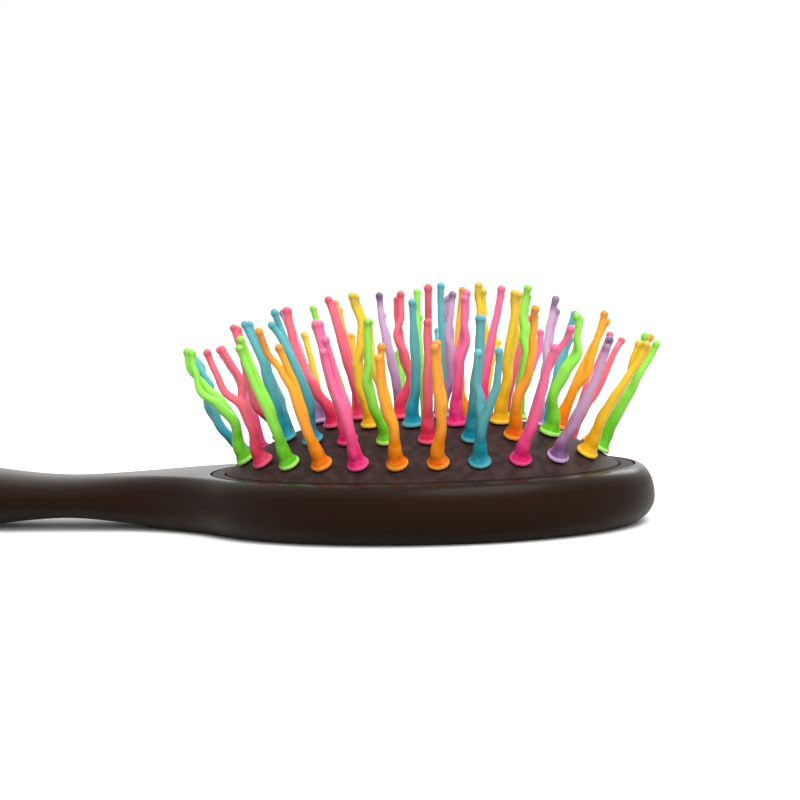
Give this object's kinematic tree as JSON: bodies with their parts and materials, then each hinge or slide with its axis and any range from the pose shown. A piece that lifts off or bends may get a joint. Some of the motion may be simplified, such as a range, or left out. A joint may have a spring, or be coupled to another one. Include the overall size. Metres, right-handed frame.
{
  "type": "hair brush",
  "caption": "Cushioned hair brush: moulded handle and oval head, with a domed rubber cushion that carries rings of forked elastomer bristle tufts.",
  "frame": {"origin": "on the flat back of the head, under the middle of the cushion", "axes": "+Z from the back towards the bristle tips, +X along the brush towards the nose of the head, so the handle runs towards -X"},
  "size_m": [0.2182, 0.0678, 0.0478],
  "materials": {
    "body": "satin moulded, dark brown-black",
    "frame": "satin moulded, dark brown-black",
    "cushion": "matte",
    "tuft_orange": "translucent moulded elastomer",
    "tuft_magenta": "translucent moulded elastomer",
    "tuft_rose": "translucent moulded elastomer",
    "tuft_green": "translucent moulded elastomer",
    "tuft_teal": "translucent moulded elastomer",
    "tuft_purple": "translucent moulded elastomer",
    "tuft_yellow": "translucent moulded elastomer"
  },
  "bodies": {
    "brush": {"brush_body": "body", "cushion_frame": "frame", "cushion_pad": "cushion"},
    "centre_row": {"tuft_centre_01": "tuft_rose", "tuft_centre_02": "tuft_rose", "tuft_centre_03": "tuft_purple", "tuft_centre_04": "tuft_magenta"},
    "inner_ring": {"tuft_inner_01": "tuft_teal", "tuft_inner_02": "tuft_magenta", "tuft_inner_03": "tuft_yellow", "tuft_inner_04": "tuft_green", "tuft_inner_05": "tuft_yellow", "tuft_inner_06": "tuft_teal", "tuft_inner_07": "tuft_purple", "tuft_inner_08": "tuft_orange", "tuft_inner_09": "tuft_purple", "tuft_inner_10": "tuft_rose", "tuft_inner_11": "tuft_yellow"},
    "middle_ring": {"tuft_middle_01": "tuft_green", "tuft_middle_02": "tuft_rose", "tuft_middle_03": "tuft_teal", "tuft_middle_04": "tuft_orange", "tuft_middle_05": "tuft_green", "tuft_middle_06": "tuft_orange", "tuft_middle_07": "tuft_purple", "tuft_middle_08": "tuft_rose", "tuft_middle_09": "tuft_orange", "tuft_middle_10": "tuft_green", "tuft_middle_11": "tuft_yellow", "tuft_middle_12": "tuft_green", "tuft_middle_13": "tuft_purple", "tuft_middle_14": "tuft_rose", "tuft_middle_15": "tuft_teal", "tuft_middle_16": "tuft_teal", "tuft_middle_17": "tuft_magenta"},
    "outer_ring": {"tuft_outer_01": "tuft_orange", "tuft_outer_02": "tuft_orange", "tuft_outer_03": "tuft_teal", "tuft_outer_04": "tuft_magenta", "tuft_outer_05": "tuft_purple", "tuft_outer_06": "tuft_yellow", "tuft_outer_07": "tuft_green", "tuft_outer_08": "tuft_orange", "tuft_outer_09": "tuft_rose", "tuft_outer_10": "tuft_teal", "tuft_outer_11": "tuft_magenta", "tuft_outer_12": "tuft_yellow", "tuft_outer_13": "tuft_teal", "tuft_outer_14": "tuft_green", "tuft_outer_15": "tuft_orange", "tuft_outer_16": "tuft_yellow", "tuft_outer_17": "tuft_teal", "tuft_outer_18": "tuft_magenta", "tuft_outer_19": "tuft_teal", "tuft_outer_20": "tuft_green", "tuft_outer_21": "tuft_rose", "tuft_outer_22": "tuft_green", "tuft_outer_23": "tuft_orange", "tuft_outer_24": "tuft_magenta"}
  },
  "joints": [
    {"name": "cushion_press", "type": "slide", "parent": "brush", "child": "centre_row", "axis": [0, 0, -1], "range_m": [0, 0.003], "stiffness_N_per_m": 300, "deforming": ["cushion_pad"]},
    {"name": "inner_ring_sink", "type": "slide", "parent": "brush", "child": "inner_ring", "axis": [0, 0, -1], "range_m": [0, 0.00278], "stiffness_N_per_m": 60},
    {"name": "middle_ring_sink", "type": "slide", "parent": "brush", "child": "middle_ring", "axis": [0, 0, -1], "range_m": [0, 0.00206], "stiffness_N_per_m": 60},
    {"name": "outer_ring_sink", "type": "slide", "parent": "brush", "child": "outer_ring", "axis": [0, 0, -1], "range_m": [0, 0.00086], "stiffness_N_per_m": 60}
  ],
  "couplings": [
    {"joint": "inner_ring_sink", "follows": "cushion_press", "ratio": 0.9199},
    {"joint": "middle_ring_sink", "follows": "cushion_press", "ratio": 0.6796},
    {"joint": "outer_ring_sink", "follows": "cushion_press", "ratio": 0.2791}
  ]
}
